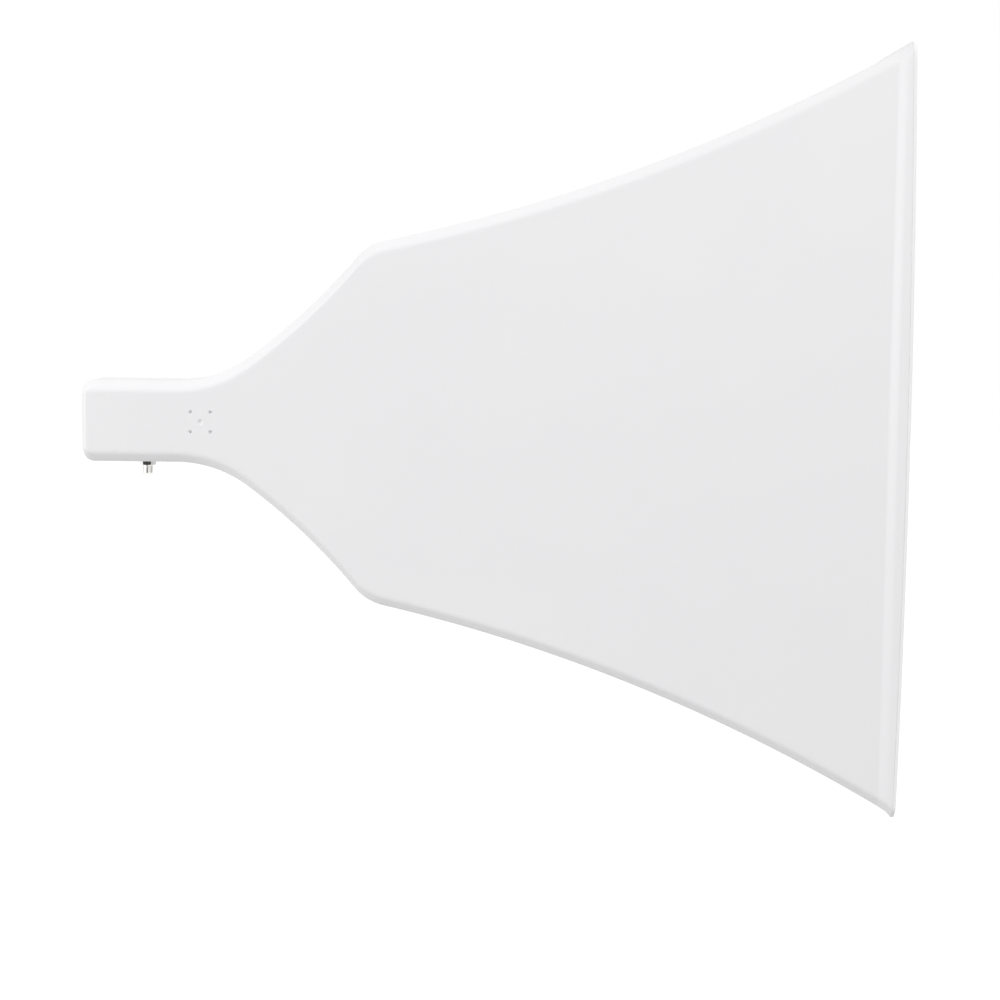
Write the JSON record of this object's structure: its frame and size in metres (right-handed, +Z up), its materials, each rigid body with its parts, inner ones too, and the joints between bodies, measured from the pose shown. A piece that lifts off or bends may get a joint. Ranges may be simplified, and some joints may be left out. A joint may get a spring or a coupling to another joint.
{
  "type": "horn antenna",
  "caption": "Tall, narrow microwave horn antenna in a white flared housing, with coaxial ports at its neck and a side clamp for a round pole.",
  "frame": {"origin": "on the axis of the pole that the clamp holds, level with the horn's own axis", "axes": "+X towards the mouth, +Z up along the pole, and the horn lies beside the pole towards -Y"},
  "size_m": [0.46, 0.2511, 0.4254],
  "materials": {
    "housing_plastic": "fine satin, pale white",
    "radome_plastic": "fine satin, white",
    "gasket_rubber": "matte, pale silicone",
    "horn_aluminium": "plain rolled sheet",
    "cast_aluminium": "fine cast surface",
    "port_metal": "bright turned, faintly warm",
    "contact_metal": "gold plated",
    "insulator_plastic": "smooth, cream white",
    "insert_brass": "turned",
    "fastener_steel": "plain stainless"
  },
  "bodies": {
    "root": {"housing": "housing_plastic", "back_cover": "housing_plastic", "radome": "radome_plastic", "radome_gasket": "gasket_rubber", "feed_casting": "cast_aluminium", "horn_top_sheet": "horn_aluminium", "horn_bottom_sheet": "horn_aluminium", "horn_near_sheet": "horn_aluminium", "horn_far_sheet": "horn_aluminium", "pad_inserts": "insert_brass", "mount_arm": "cast_aluminium", "arm_screws": "fastener_steel", "arm_screw_washers": "fastener_steel", "clamp_jaw": "cast_aluminium", "clamp_bolts": "fastener_steel", "clamp_bolt_washers": "fastener_steel", "clamp_nuts": "fastener_steel", "lower_port_barrel": "port_metal", "lower_port_insulator": "insulator_plastic", "lower_port_probe": "contact_metal", "lower_port_seal": "gasket_rubber", "lower_port_lock_washer": "port_metal", "lower_port_nut": "port_metal", "side_port_barrel": "port_metal", "side_port_insulator": "insulator_plastic", "side_port_probe": "contact_metal", "side_port_seal": "gasket_rubber", "side_port_lock_washer": "port_metal", "side_port_nut": "port_metal"}
  },
  "joints": []
}
